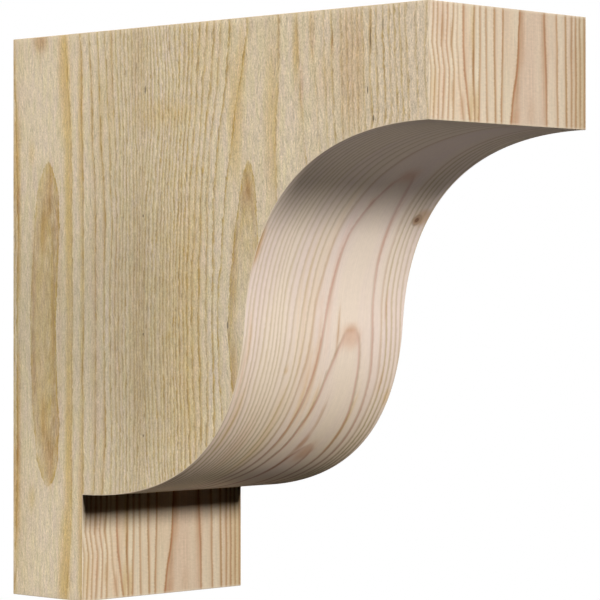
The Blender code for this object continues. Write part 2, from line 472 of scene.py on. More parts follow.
def smooth_through(points, pitch):
    """Points about pitch apart on a smooth curve through the given ones."""
    chords = np.linalg.norm(np.diff(points, axis=0), axis=1)
    marks = np.concatenate([[0.0], np.cumsum(chords)])
    slopes = np.gradient(points, marks, axis=0)
    places = np.linspace(0, marks[-1], math.ceil(marks[-1] / pitch) + 1)
    left = np.clip(np.searchsorted(marks, places, side="right") - 1, 0, len(points) - 2)
    step = (marks[left + 1] - marks[left])[:, None]
    t = (places - marks[left])[:, None] / step
    start = points[left] * (1 + 2 * t) * (1 - t) ** 2 + slopes[left] * step * t * (1 - t) ** 2
    end = points[left + 1] * t**2 * (3 - 2 * t) + slopes[left + 1] * step * t**2 * (t - 1)
    return start + end


def spaced(length, pitch, margin):
    """Distances along a run, evenly spaced but for one more close to either end."""
    count = max(2, math.ceil((length - 2 * margin) / pitch) + 1)
    return np.concatenate([[0.0], np.linspace(margin, length - margin, count), [length]])


class Outline:
    """The side outline as a loop of points, with each one's outward normal and each step's finish."""

    def __init__(self, settings):
        self.made = []
        self.pitch = settings.outline_pitch
        self.margin = settings.edge_band
        self.round = settings.corner_round
        curve = cad_s_curve()
        shoulder = curve[0]
        nose = curve[-1]
        self.shoulder = shoulder
        top_back = np.array((0.0, HEIGHT))
        bottom_back = np.array((0.0, 0.0))
        leg_front = np.array((shoulder[0], 0.0))
        top_front = np.array((REACH, HEIGHT))
        self.straight(top_back, bottom_back, SIDE)
        self.turn(bottom_back, (0, -1), SIDE, END_GRAIN)
        self.straight(bottom_back, leg_front, END_GRAIN)
        self.turn(leg_front, (1, 0), END_GRAIN, FRONT)
        self.straight(leg_front, shoulder, FRONT, round_end=False)
        self.curve(curve)
        self.turn(nose, (1, 0), S_FACE, FRONT)
        self.straight(nose, top_front, FRONT)
        self.turn(top_front, (0, 1), FRONT, END_GRAIN)
        self.straight(top_front, top_back, END_GRAIN)
        self.turn(top_back, (-1, 0), END_GRAIN, SIDE)
        self.points, self.normals, self.finish, self.corner = map(np.array, zip(*self.made))
        steps = np.linalg.norm(np.diff(self.points, axis=0), axis=1)
        travelled = np.concatenate([[0.0], np.cumsum(steps)])
        nose_place = np.flatnonzero(self.finish == S_FACE)[-1] + 1
        self.from_nose = travelled[nose_place] - travelled

    def add(self, point, normal, finish, corner=False):
        """Puts the next point of the outline down, with the finish of the surface that it starts."""
        self.made.append((np.array(point, float), np.array(normal, float), finish, corner))

    def straight(self, start, end, finish, round_end=True):
        """A flat run, which stops short of the rounding at either end."""
        length = np.linalg.norm(end - start)
        ahead = (end - start) / length
        normal = (ahead[1], -ahead[0])
        first = start + self.round * ahead
        last = end - self.round * ahead * round_end
        for place in spaced(np.linalg.norm(last - first), self.pitch, self.margin)[1:-1]:
            self.add(first + place * ahead, normal, finish)
        if not round_end:
            self.shoulder_normal = normal

    def turn(self, corner, ahead, before, after, steps=4):
        """A rounded outside corner, whose first half has the finish before it."""
        ahead = np.array(ahead, float)
        normal = np.array((ahead[1], -ahead[0]))
        centre = corner - self.round * (ahead + normal)
        for step in range(steps + 1):
            angle = math.pi / 2 * step / steps
            facing = math.cos(angle) * normal + math.sin(angle) * ahead
            finish = before if step < steps / 2 else after
            self.add(centre + self.round * facing, facing, finish, corner=True)

    def curve(self, curve):
        """The S, from its sharp inside corner at the shoulder."""
        points = smooth_through(curve, self.pitch)
        slopes = np.gradient(points, axis=0)
        slopes /= np.linalg.norm(slopes, axis=1)[:, None]
        mitre = np.array(self.shoulder_normal) + np.array((slopes[0][1], -slopes[0][0]))
        self.add(points[0], mitre, S_FACE)
        for point, slope in zip(points[1:], slopes[1:]):
            if point[0] < REACH - self.round - 0.4 * self.pitch:
                self.add(point, (slope[1], -slope[0]), S_FACE)


def fill_side(rim, settings):
    """Fills the side inside its rim with columns of points that follow the grain, and joins them.

    Returns the inner points, and triangles that count the rim's points first."""
    column, row = settings.grain_pitch, settings.row_pitch
    outs = np.arange(column / 2, REACH, column)
    ups = np.arange(row / 2, HEIGHT, row)
    grid = np.stack(np.meshgrid(outs, ups, indexing="ij"), -1).reshape(-1, 2)
    grid[:, 1] += row / 3 * (np.arange(len(grid)) // len(ups) % 3 - 1)
    inward = rim - np.roll(rim, 1, axis=0)
    inward = np.stack([-inward[:, 1], inward[:, 0]], 1)
    inward /= np.linalg.norm(inward, axis=1)[:, None]
    band = rim + settings.edge_band * inward
    clear_of_rim = distance_to(rim, band) > 0.8 * settings.edge_band
    clear_of_band = distance_to(rim, grid) > 1.6 * settings.edge_band
    inner = [band[clear_of_rim & inside(rim, band)], grid[clear_of_band & inside(rim, grid)]]
    inner = np.concatenate(inner)
    squeeze = np.array((1.0, column / row))
    coords = [Vector(point) for point in np.concatenate([rim, inner]) * squeeze / column]
    found, _, triangles, came_from, _, _ = delaunay_2d_cdt(
        coords, [], [list(range(len(rim)))], 1, 1e-7
    )
    if len(found) != len(coords):
        raise RuntimeError("the side's triangles need points that its rim and columns lack")
    source = [own[0] for own in came_from]
    return inner, np.array([[source[corner] for corner in face] for face in triangles])


def inside(rim, points):
    """Whether each point is inside the rim, by counting the edges that a line to its right crosses."""
    start, end = rim, np.roll(rim, -1, axis=0)
    x, y = points[:, :1], points[:, 1:]
    spans = (start[:, 1] > y) != (end[:, 1] > y)
    rise = np.where(end[:, 1] == start[:, 1], 1.0, end[:, 1] - start[:, 1])
    crossing = start[:, 0] + (y - start[:, 1]) * (end[:, 0] - start[:, 0]) / rise
    return (spans & (x < crossing)).sum(1) % 2 == 1


def distance_to(rim, points):
    """How far each point is from the nearest edge of the rim."""
    start, end = rim, np.roll(rim, -1, axis=0)
    edge = end - start
    nearest = np.full(len(points), np.inf)
    for origin, along in zip(start, edge):
        share = ((points - origin) @ along) / max(along @ along, 1e-18)
        gap = points - origin - np.clip(share, 0, 1)[:, None] * along
        nearest = np.minimum(nearest, np.hypot(gap[:, 0], gap[:, 1]))
    return nearest


# The block.

# Faint waves that the saw and the plane leave, in millimetres: depth, length along the outline, length
# across the width, and how many radians and over what length across they wander. Each length is that of
# one radian, and a place along the outline is its distance out plus its height.
TOOL_WAVES = {
    SIDE: (0.07, 1.9, 40, 2, 60),
    END_GRAIN: (0.05, 1.3, 9, 1, 25),
    FRONT: (0.015, 1.6, 90, 0, 1),
}
# Shallow hollows that the sander leaves on the S: depth, length along it, length across, and the length
# along it over which they wander by up to one radian.
SANDED_HOLLOWS = (0.12, 38, 16, 55)
EASE_STEPS = 3


class Block:
    """The corbel as arrays: quads right round its outline, and a sheet of triangles on each side."""

    def __init__(self, settings):
        self.settings = settings
        self.outline = Outline(settings)
        self.columns()
        self.band()
        self.sides()

    def columns(self):
        """Places across the width, with how far each is set in where the edge is eased."""
        ease = self.settings.edge_ease
        angles = np.radians(np.linspace(0, 90, EASE_STEPS + 1))
        flat = spaced(WIDTH - 2 * ease, self.settings.column_pitch, self.settings.edge_band)
        left = -WIDTH / 2 + ease * (1 - np.sin(angles))
        self.across = np.concatenate([left[:0:-1], flat + ease - WIDTH / 2, -left[1:]])
        set_in = ease * (1 - np.cos(angles))
        self.set_in = np.concatenate([set_in[:0:-1], np.zeros(len(flat)), set_in[1:]])

    def wave_depth(self):
        """How deep the tools cut into each flat surface round the outline, at each of its points."""
        across = self.across[None] / MM
        along = self.outline.points.sum(1)[:, None] / MM
        finish = self.outline.finish[:, None]
        deep, long, wide, wander = SANDED_HOLLOWS
        wave = np.sin(across / wide + np.sin(along / wander)) * np.sin(along / long)
        depth = deep * MM * (0.5 + 0.5 * wave)
        for own, (deep, long, wide, wander, wander_wide) in TOOL_WAVES.items():
            wave = np.sin(along / long + across / wide + wander * np.sin(across / wander_wide))
            depth = np.where(finish == own, deep * MM * (0.5 + 0.5 * wave), depth)
        flat = (self.set_in == 0)[None] & ~self.outline.corner[:, None]
        return np.where(flat, depth, 0.0)

    def band(self):
        """The surfaces round the outline, each with the faint waves of the tool that cut it."""
        line = self.outline
        rows, columns = len(line.points), len(self.across)
        depth = self.set_in[None] + self.wave_depth()
        spread = line.points[:, None] - depth[..., None] * line.normals[:, None]
        across = np.repeat(self.across[None], rows, 0)
        self.vertices = place(across, spread[..., 0], spread[..., 1]).reshape(-1, 3)
        # The eased edges, which the materials lighten with paler fibres and a painted highlight.
        eased = (self.set_in > 0)[None] | line.corner[:, None]
        self.pale_edge_and_highlight = eased.astype(float).ravel()

        row, column = np.meshgrid(np.arange(rows), np.arange(columns - 1), indexing="ij")
        corner_rows = np.stack([row, row, row + 1, row + 1], -1).reshape(-1, 4) % rows
        corner_columns = np.stack([column, column + 1, column + 1, column], -1).reshape(-1, 4)
        self.quads = corner_rows * columns + corner_columns
        self.quad_finish = line.finish[row.ravel()]
        self.quad_grain = self.grain_of_band(row.ravel(), corner_rows, corner_columns)

    def grain_of_band(self, row, corner_rows, corner_columns):
        """What the materials read, at each corner of each quad."""
        line = self.outline
        across = (self.across[corner_columns] + WIDTH / 2) / MM
        out = line.points[corner_rows][..., 0] / MM
        up = line.points[corner_rows][..., 1] / MM
        finish = line.finish[row]
        on_leg = (out < REACH / MM / 2).all(-1)
        planed = finish == FRONT
        curve = line.from_nose[corner_rows] / MM
        makers = (
            (finish == SIDE, back_grain, HEIGHT / MM - up),
            (planed & ~on_leg, front_grain, HEIGHT / MM - up),
            (planed & on_leg, leg_grain, line.shoulder[1] / MM - up),
            (finish == S_FACE, s_face_grain, curve),
            (finish == END_GRAIN, end_grain, out),
        )
        grain = np.zeros(across.shape + (CROWDING + 1,))
        for here, maker, along in makers:
            grain[here] = with_crowding(maker, across[here], along[here])
        return grain

    def sides(self):
        """The two sides, with the hard part of each ring left standing a little proud."""
        line = self.outline
        rim = line.points - self.settings.edge_ease * line.normals
        inner, triangles = fill_side(rim, self.settings)
        sheet = np.concatenate([rim, inner])
        out = sheet[:, 0] / MM
        down = (HEIGHT - sheet[:, 1]) / MM
        columns = len(self.across)
        rim_left = np.arange(len(rim)) * columns
        self.triangles = []
        self.triangle_grain = []
        for sign, maker in ((-1, side_grain), (1, far_side_grain)):
            grain = with_crowding(maker, out, down)
            depth = self.settings.relief * self.sawn_relief(grain[:, RING], out, down)
            across = sign * (WIDTH / 2 - depth[len(rim):])
            numbers = np.concatenate([rim_left, len(self.vertices) + np.arange(len(inner))])
            if sign > 0:
                numbers[: len(rim)] += columns - 1
            self.vertices = np.concatenate([self.vertices, place(across, inner[:, 0], inner[:, 1])])
            self.pale_edge_and_highlight = np.concatenate([self.pale_edge_and_highlight, np.zeros(len(inner))])
            corners = triangles if sign < 0 else triangles[:, ::-1]
            self.triangles.append(numbers[corners])
            self.triangle_grain.append(grain[corners])

    def sawn_relief(self, rings, out, down):
        """How deep the saw left each place, from 0 on the hard wood to 1 in the soft."""
        ring_share = 0.75
        ring_shape = 0.5 + 0.5 * np.cos(2 * math.pi * (rings - 0.1))
        ripple = 0.5 + 0.5 * np.sin(down / 2.4 + 1.5 * np.sin(out / 21))
        return 1 - ring_share * ring_shape - (1 - ring_share) * ripple

    def to_object(self, name):
        """The arrays as one closed mesh, with what its materials read kept as attributes."""
        triangles = np.concatenate(self.triangles)
        mesh = bpy.data.meshes.new(name)
        mesh.from_pydata(self.vertices.tolist(), [], self.quads.tolist() + triangles.tolist())
        finish = np.concatenate([self.quad_finish, np.full(len(triangles), SIDE)])
        mesh.polygons.foreach_set("material_index", finish.astype(np.int32))
        corners = [part.reshape(-1, CROWDING + 1) for part in [self.quad_grain] + self.triangle_grain]
        grain = np.concatenate(corners).astype(np.float32)
        place_of_corner = np.zeros((len(grain), 3), np.float32)
        place_of_corner[:, :2] = grain[:, ACROSS:ALONG + 1] * MM
        kept = {
            "growth_ring": grain[:, RING], "hardness": grain[:, HARDNESS],
            "stain_and_shade": grain[:, OCHRE:PINK + 1], "wash": grain[:, WASH],
            "grain_place": place_of_corner, "crowding": grain[:, CROWDING],
        }
        for label, values in kept.items():
            keep(mesh, label, "CORNER", values)
        keep(mesh, "pale_edge_and_highlight", "POINT", self.pale_edge_and_highlight.astype(np.float32))
        mesh.shade_smooth()
        mesh.validate()
        made = bpy.data.objects.new(name, mesh)
        bpy.context.scene.collection.objects.link(made)
        return made


def keep(mesh, name, domain, values):
    """Stores one value or one triple for each point or corner of a mesh."""
    if values.ndim == 2:
        mesh.attributes.new(name, "FLOAT_VECTOR", domain).data.foreach_set("vector", values.ravel())
    else:
        mesh.attributes.new(name, "FLOAT", domain).data.foreach_set("value", values)


def place(across, out, up):
    """Points in the part's own frame, kept inside the CAD box."""
    points = np.stack([across, HIGH.y - out, LOW.z + up], -1)
    return np.clip(points, np.array(LOW), np.array(HIGH))


# Shader nodes.


class Nodes:
    """A node tree, with short ways to add the nodes that the wood is made of."""

    def __init__(self, tree):
        self.tree = tree

    def add(self, kind, inputs=None, **settings):
        """Adds a node, sets it up and fills its inputs with values or with other nodes' outputs."""
        node = self.tree.nodes.new(kind)
        for name, value in settings.items():
            setattr(node, name, value)
        for key, value in (inputs or {}).items():
            if isinstance(value, bpy.types.NodeSocket):
                self.tree.links.new(value, node.inputs[key])
            else:
                node.inputs[key].default_value = value
        return node

    def calc(self, operation, *values):
        """The result of one sum."""
        return self.add("ShaderNodeMath", dict(enumerate(values)), operation=operation).outputs[0]

    def product(self, first, second):
        """One value times another."""
        return self.calc("MULTIPLY", first, second)

    def remap(self, value, low, high, to_low=0.0, to_high=1.0, kind="LINEAR"):
        """Value stretched from one range to another, and held at its ends."""
        sockets = dict(enumerate((value, low, high, to_low, to_high)))
        return self.add("ShaderNodeMapRange", sockets, interpolation_type=kind).outputs[0]

    def blend(self, share, first, second, how="MIX"):
        """Two colours mixed by share."""
        sockets = {0: share, 6: first, 7: second}
        return self.add("ShaderNodeMix", sockets, data_type="RGBA", blend_type=how).outputs[2]

    def vector(self, operation, *values):
        """The result of one sum of vectors."""
        return self.add("ShaderNodeVectorMath", dict(enumerate(values)), operation=operation).outputs[0]

    def noise(self, place, across, along, detail, roughness, seed=0.0, slant=0.0):
        """Noise with its own scale across the grain and along it, per metre, turned by slant."""
        if slant:
            turn = {"Vector": place, "Angle": slant}
            place = self.add("ShaderNodeVectorRotate", turn, rotation_type="Z_AXIS").outputs[0]
        moved = self.vector("MULTIPLY_ADD", place, (across, along, 1.0), (seed, seed, seed))
        return self.plain_noise(moved, detail, roughness)

    def plain_noise(self, place, detail, roughness):
        """Noise at a place that has its scale in it already."""
        sockets = {"Vector": place, "Scale": 1.0, "Detail": detail, "Roughness": roughness}
        return self.add("ShaderNodeTexNoise", sockets).outputs["Fac"]


class Group(Nodes):
    """A shader node group, whose sockets are floats unless their names say place, stain or colour."""

    def __init__(self, name, inputs, outputs):
        super().__init__(bpy.data.node_groups.new(name, "ShaderNodeTree"))
        for direction, labels in (("INPUT", inputs), ("OUTPUT", outputs)):
            for label in labels:
                kind = "NodeSocketFloat"
                if "Place" in label or "Stain" in label:
                    kind = "NodeSocketVector"
                if "Colour" in label:
                    kind = "NodeSocketColor"
                self.tree.interface.new_socket(label, in_out=direction, socket_type=kind)
        self.given = self.add("NodeGroupInput").outputs
        self.result = self.add("NodeGroupOutput").inputs

    def finished(self, **results):
        """Joins each result to the output of its name, and returns the tree."""
        for label, value in results.items():
            self.tree.links.new(value, self.result[label.replace("_", " ")])
        return self.tree


def growth_ring_group():
    """Latewood from a ring count: a dark line where the count is whole, and a soft shade inside it.

    Shake, Inner Line and Outer Line are in millimetres, and Crowding is in rings to the millimetre.
    No line is wider than a share of the distance to the next."""
    inputs = (
        "Ring", "Hardness", "Crowding", "Shake", "Inner Line", "Outer Line", "Shade Share",
        "Shade Strength",
    )
    g = Group("Growth Ring", inputs, ("Latewood", "Ring Tone", "Ring Tint"))
    crowding = g.given["Crowding"]
    ring = g.calc("MULTIPLY_ADD", g.given["Shake"], crowding, g.given["Ring"])
    through = g.calc("FRACT", ring)
    lines = []
    for label, most, share in (
        ("Inner Line", 0.45, g.calc("SUBTRACT", 1.0, through)),
        ("Outer Line", 0.3, through),
    ):
        width = g.calc("MINIMUM", g.given[label], g.calc("DIVIDE", most, crowding))
        away = g.calc("DIVIDE", share, crowding)
        lines.append(g.remap(away, width, 0.0, kind="SMOOTHSTEP"))
    shade_start = g.calc("SUBTRACT", 1.0, g.given["Shade Share"])
    ramp = g.calc("POWER", g.remap(through, shade_start, 1.0), 1.6)
    shade = g.product(ramp, g.given["Shade Strength"])
    both = g.calc("MULTIPLY_ADD", g.calc("MAXIMUM", *lines), g.calc("SUBTRACT", 1.0, shade), shade)
    number = g.product(ring, 1.3)
    tone = g.add("ShaderNodeTexNoise", {"W": number, "Detail": 0.0}, noise_dimensions="1D")
    other = g.calc("ADD", number, 57.3)
    tint = g.add("ShaderNodeTexNoise", {"W": other, "Detail": 0.0}, noise_dimensions="1D")
    tone = g.remap(tone.outputs["Fac"], 0.3, 0.7)
    tint = g.remap(tint.outputs["Fac"], 0.35, 0.65)
    strength = g.product(g.given["Hardness"], g.remap(tone, 0.0, 1.0, 0.9, 1.1))
    return g.finished(Latewood=g.product(both, strength), Ring_Tone=tone, Ring_Tint=tint)


def fibre_group():
    """Fine streaks along the grain, about a half where the wood is plain, and broad soft blotches."""
    g = Group("Wood Fibre", ("Place", "Across", "Along"), ("Fibre", "Blotch"))
    place = g.given["Place"]
    size = g.add("ShaderNodeCombineXYZ", {0: g.given["Across"], 1: g.given["Along"]}).outputs[0]
    fibre = g.plain_noise(g.vector("MULTIPLY", place, size), 4.0, 0.6)
    return g.finished(Fibre=fibre, Blotch=g.noise(place, 45, 7, 2.0, 0.5, 3.1))


def wool_group():
    """The torn fibres that a coarse saw leaves: slanting tufts, in clumps, over a fine nap."""
    g = Group("Sawn Wool", ("Place",), ("Tufts", "Nap"))
    place = g.given["Place"]
    one_way = g.noise(place, 620, 130, 3.0, 0.6, seed=2.0, slant=0.3)
    other_way = g.noise(place, 760, 170, 3.0, 0.6, seed=9.0, slant=-0.12)
    clumps = g.remap(g.noise(place, 120, 60, 2.0, 0.5, seed=12.0), 0.4, 0.6)
    tufts = g.add("ShaderNodeMix", {0: clumps, 2: one_way, 3: other_way}).outputs[0]
    return g.finished(Tufts=tufts, Nap=g.noise(place, 1300, 700, 3.0, 0.6, seed=5.0))


# What each stain at its full strength, and the wash, leave of the wood's red, green and blue.
STAIN_TINTS = ((0.93, 0.82, 0.56, 1.0), (0.70, 0.57, 0.45, 1.0), (0.93, 0.79, 0.73, 1.0))
WASH_TINT = (0.80, 0.81, 0.80, 1.0)


def stain_group():
    """Tints a colour with ochre, brown and pink where the wood is stained, and darkens it by a wash. At
    the foot of the S the brown and the wash are painted shade.
    """
    g = Group("Wood Stain And Shade", ("Colour", "Stain", "Wash"), ("Colour",))
    split = g.add("ShaderNodeSeparateXYZ", {0: g.given["Stain"]})
    colour = g.given["Colour"]
    for amount, tint in zip((*split.outputs, g.given["Wash"]), (*STAIN_TINTS, WASH_TINT)):
        colour = g.blend(amount, colour, tint, "MULTIPLY")
    return g.finished(Colour=colour)


def mark_group():
    """A small soft mark, 1 at its middle and 0 beyond its half size."""
    inputs = ("Place", "Centre Place", "Half Across", "Half Along")
    g = Group("Small Mark", inputs, ("Mask", "Distance"))
    offset = g.vector("SUBTRACT", g.given["Place"], g.given["Centre Place"])
    split = g.add("ShaderNodeSeparateXYZ", {0: offset}).outputs
    across = g.calc("DIVIDE", split[0], g.given["Half Across"])
    along = g.calc("DIVIDE", split[1], g.given["Half Along"])
    distance = g.calc("SQRT", g.calc("ADD", g.product(across, across), g.product(along, along)))
    mask = g.remap(distance, 1.0, 0.4, kind="SMOOTHSTEP")
    return g.finished(Mask=mask, Distance=distance)


# Bare wood is duller than most things, so its specular level is half the usual one.
DULL_GLOSS = 0.25


class Finish(Nodes):
    """One material in the making, with the sockets that all the corbel's finishes start from."""

    def __init__(self, name, groups):
        self.material = bpy.data.materials.new(name)
        self.material.use_nodes = True
        super().__init__(self.material.node_tree)
        self.groups = groups
        self.shader = self.tree.nodes["Principled BSDF"]
        self.ring = self.read("growth_ring", "Fac")
        self.hardness = self.read("hardness", "Fac")
        self.crowding = self.read("crowding", "Fac")
        self.stain_and_shade = self.read("stain_and_shade", "Vector")
        self.wash = self.read("wash", "Fac")
        self.place = self.read("grain_place", "Vector")
        self.pale_edge_and_highlight = self.read("pale_edge_and_highlight", "Fac")

    def read(self, name, output):
        """What the mesh keeps under a name."""
        return self.add("ShaderNodeAttribute", attribute_name=name).outputs[output]

    def group(self, key, inputs):
        """Places a shared group and joins or sets its inputs."""
        return self.add("ShaderNodeGroup", inputs, node_tree=self.groups[key]).outputs

    def rings(self, shake, inner, outer, share, strength):
        """The growth rings, with the widths of their lines in millimetres and the shade inside them."""
        return self.group("rings", {
            "Ring": self.ring, "Hardness": self.hardness, "Crowding": self.crowding, "Shake": shake,
            "Inner Line": inner, "Outer Line": outer, "Shade Share": share, "Shade Strength": strength,
        })

    def shake(self, *noises):
        """How far noises, each with its strength, push the rings about."""
        total = 0.0
        for value, strength in noises:
            total = self.calc("MULTIPLY_ADD", self.calc("SUBTRACT", value, 0.5), strength, total)
        return total

    def tinted(self, colour):
        """The colour with the wood's stains and wash on it, which at the foot of the S are painted
        shade.
        """
        return self.group("stain_and_shade", {"Colour": colour, "Stain": self.stain_and_shade, "Wash": self.wash})["Colour"]

    def shaded(self, colour, tone):
        """The colour made lighter or darker by a tone near 1."""
        return self.blend(1.0, colour, tone, "MULTIPLY")

    def mark(self, across, along, half_across, half_along):
        """The mask and distance of a mark at a place given in millimetres."""
        outputs = self.group("mark", {
            "Place": self.place, "Centre Place": (across * MM, along * MM, 0.0),
            "Half Across": half_across * MM, "Half Along": half_along * MM,
        })
        return outputs["Mask"], outputs["Distance"]

    def close(self, colour, roughness, height, depth, pale_edge_and_highlight_colour, pale_edge_and_highlight_share=0.4):
        """Lightens the worn edges with paler fibres and a painted highlight, and joins the colour,
        roughness and height to the shader.
        """
        colour = self.blend(self.product(self.pale_edge_and_highlight, pale_edge_and_highlight_share), colour, pale_edge_and_highlight_colour)
        bump = self.add("ShaderNodeBump", {"Strength": 1.0, "Distance": depth, "Height": height})
        self.tree.links.new(colour, self.shader.inputs["Base Color"])
        self.tree.links.new(roughness, self.shader.inputs["Roughness"])
        self.tree.links.new(bump.outputs["Normal"], self.shader.inputs["Normal"])
        self.shader.inputs["Specular IOR Level"].default_value = DULL_GLOSS
        return self.material


# Small dark splits in the sawn side: out from the wall, down from the top, half across, half along.
CHECKS = (
    (124.2, 38.5, 0.8, 3.4), (161.0, 93.0, 0.5, 4.5), (122.3, 115.5, 0.8, 1.2),
    (122.5, 188.0, 0.8, 1.2), (122.4, 250.0, 0.8, 1.2), (313.5, 64.0, 0.9, 2.6),
    (311.2, 18.0, 0.5, 9.0), (196.0, 182.0, 0.9, 3.0), (320.8, 12.0, 0.5, 5.0),
    (309.0, 48.0, 0.6, 3.0),
)
# The knot in the S and the yellower wood round it: from the left edge, from the nose, and half sizes.
KNOT = (129.6, 140.0, 5.2, 5.2)
KNOT_HALO = (133.5, 138.0, 9.5, 8.5)
KNOT_RINGS = 9.5


def side_finish(groups, colours):
    """Rough sawn wood: soft broad rings under slanting wool, which is longest towards the front."""
    f = Finish("sawn_side", groups)
    wool = f.group("wool", {"Place": f.place})
    fibre = f.group("fibre", {"Place": f.place, "Across": 750.0, "Along": 60.0})
    wander = f.noise(f.place, 90, 55, 3.0, 0.6, seed=7.3)
    out = f.add("ShaderNodeSeparateXYZ", {0: f.place}).outputs[0]
    rough = f.remap(out, 0.08, 0.2, 0.8, 1.0)
    broken = f.remap(f.noise(f.place, 300, 75, 3.0, 0.65, seed=21.0), 0.35, 0.65, 0.5, 1.5)
    f.hardness = f.product(f.hardness, broken)
    shake = f.product(f.shake((wool["Tufts"], 4.0), (wander, 3.0)), rough)
    share = f.remap(f.ring, -0.15, 0.1, 0.95, 0.5)
    strength = f.remap(f.ring, -0.15, 0.1, 1.0, 0.45)
    outer_line = f.remap(f.ring, 0.4, 2.0, 0.5, 1.2)
    rings = f.rings(shake, inner=1.7, outer=outer_line, share=share, strength=strength)
    dark = f.blend(rings["Ring Tint"], colours.side_ochre, colours.side_tan)
    blotch = f.remap(fibre["Blotch"], 0.35, 0.7, 0.0, 0.3)
    pinker = f.remap(f.noise(f.place, 240, 40, 3.0, 0.6, seed=17.0), 0.38, 0.62)
    pinker = f.calc("MAXIMUM", pinker, f.remap(out, 0.25, 0.33, 0.0, 0.9))
    pale = f.blend(pinker, colours.side_pale, colours.side_pink)
    soft = f.blend(blotch, pale, colours.side_wash)
    colour = f.tinted(f.blend(rings["Latewood"], soft, dark))
    wooliness = f.product(f.shake((wool["Tufts"], 0.95), (wool["Nap"], 0.9)), rough)
    streaks = f.remap(fibre["Fibre"], 0.3, 0.7, 0.88, 1.12)
    flecks = f.remap(f.noise(f.place, 800, 200, 3.0, 0.65, seed=15.0), 0.3, 0.4, 0.84, 1.0)
    streaks = f.product(streaks, flecks)
    colour = f.shaded(colour, f.product(f.calc("ADD", wooliness, 1.0), streaks))
    for check in CHECKS:
        mask, _ = f.mark(*check)
        colour = f.blend(f.product(mask, 0.8), colour, colours.check)
    height = f.product(f.calc("MULTIPLY_ADD", wool["Nap"], 0.4, wool["Tufts"]), rough)
    roughness = f.remap(wool["Nap"], 0.3, 0.7, 0.72, 0.9)
    return f.close(colour, roughness, height, 0.9 * MM, colours.pale_edge_and_highlight, pale_edge_and_highlight_share=0.12)


def front_finish(groups, colours):
    """Planed wood: crisp orange rings on cream, with the faint ripple of the planer across them."""
    f = Finish("planed_front", groups)
    ripple = f.noise(f.place, 330, 700, 3.0, 0.65, seed=1.0)
    wander = f.noise(f.place, 120, 30, 2.0, 0.5, seed=6.0)
    fibre = f.group("fibre", {"Place": f.place, "Across": 1100.0, "Along": 35.0})
    share = f.remap(f.ring, 1.0, 2.0, 0.75, 0.6)
    strength = f.remap(f.ring, 1.0, 2.0, 0.65, 0.3)
    shake = f.shake((ripple, 0.9), (wander, 1.4))
    rings = f.rings(shake, inner=1.9, outer=1.5, share=share, strength=strength)
    dark = f.blend(rings["Ring Tint"], colours.front_orange, colours.front_brown)
    blotch = f.remap(fibre["Blotch"], 0.38, 0.62)
    soft = f.blend(blotch, colours.front_cream, colours.front_pink)
    colour = f.tinted(f.blend(rings["Latewood"], soft, dark))
    streaks = f.remap(fibre["Fibre"], 0.3, 0.7, 0.91, 1.09)
    ripples = f.remap(ripple, 0.3, 0.7, 0.94, 1.06)
    colour = f.shaded(colour, f.product(streaks, ripples))
    roughness = f.remap(fibre["Fibre"], 0.3, 0.7, 0.5, 0.62)
    return f.close(colour, roughness, ripple, 0.12 * MM, colours.pale_edge_and_highlight)


def s_finish(groups, colours):
    """Sanded wood: thin rings that follow the S, a small knot and pink arches."""
    f = Finish("sanded_s", groups)
    wander = f.noise(f.place, 150, 25, 3.0, 0.55, seed=6.0)
    mottle = f.noise(f.place, 420, 300, 3.0, 0.6, seed=3.0)
    fibre = f.group("fibre", {"Place": f.place, "Across": 1100.0, "Along": 25.0})
    share = f.remap(f.ring, -1.0, 3.0, 0.2, 0.5)
    inner_line = f.remap(f.ring, 0.5, 2.0, 2.6, 1.6)
    outer_line = f.remap(f.ring, 0.5, 2.0, 2.0, 1.3)
    shake = f.shake((wander, 1.6), (mottle, 1.1))
    rings = f.rings(shake, inner=inner_line, outer=outer_line, share=share, strength=0.5)
    beside = f.remap(f.ring, 0.2, 1.6)
    red = f.blend(rings["Ring Tint"], colours.s_red, colours.s_brown)
    brown = f.blend(rings["Ring Tone"], colours.s_brown, colours.s_yellow)
    # The lines darken with the wash, which at the foot of the S is painted shade.
    dark = f.shaded(f.blend(beside, red, brown), f.remap(f.wash, 0.0, 1.0, 1.0, 0.55))
    blotch = f.remap(fibre["Blotch"], 0.4, 0.65)
    soft = f.blend(blotch, colours.s_cream, colours.s_pink)
    colour = f.tinted(f.blend(rings["Latewood"], soft, dark))
    streaks = f.remap(fibre["Fibre"], 0.3, 0.7, 0.96, 1.04)
    specks = f.remap(mottle, 0.3, 0.7, 0.975, 1.025)
    colour = f.shaded(colour, f.product(streaks, specks))
    halo, _ = f.mark(*KNOT_HALO)
    colour = f.blend(f.product(halo, 0.6), colour, colours.knot_halo)
    knot, distance = f.mark(*KNOT)
    rim = f.calc("SINE", f.product(distance, KNOT_RINGS))
    core = f.blend(f.remap(rim, -1.0, 1.0), colours.knot_heart, colours.knot_rim)
    colour = f.blend(knot, colour, core)
    roughness = f.remap(fibre["Fibre"], 0.3, 0.7, 0.42, 0.55)
    # The S's edges get the strongest painted highlight.
    return f.close(colour, roughness, fibre["Fibre"], 0.03 * MM, colours.pale_edge_and_highlight, pale_edge_and_highlight_share=0.7)


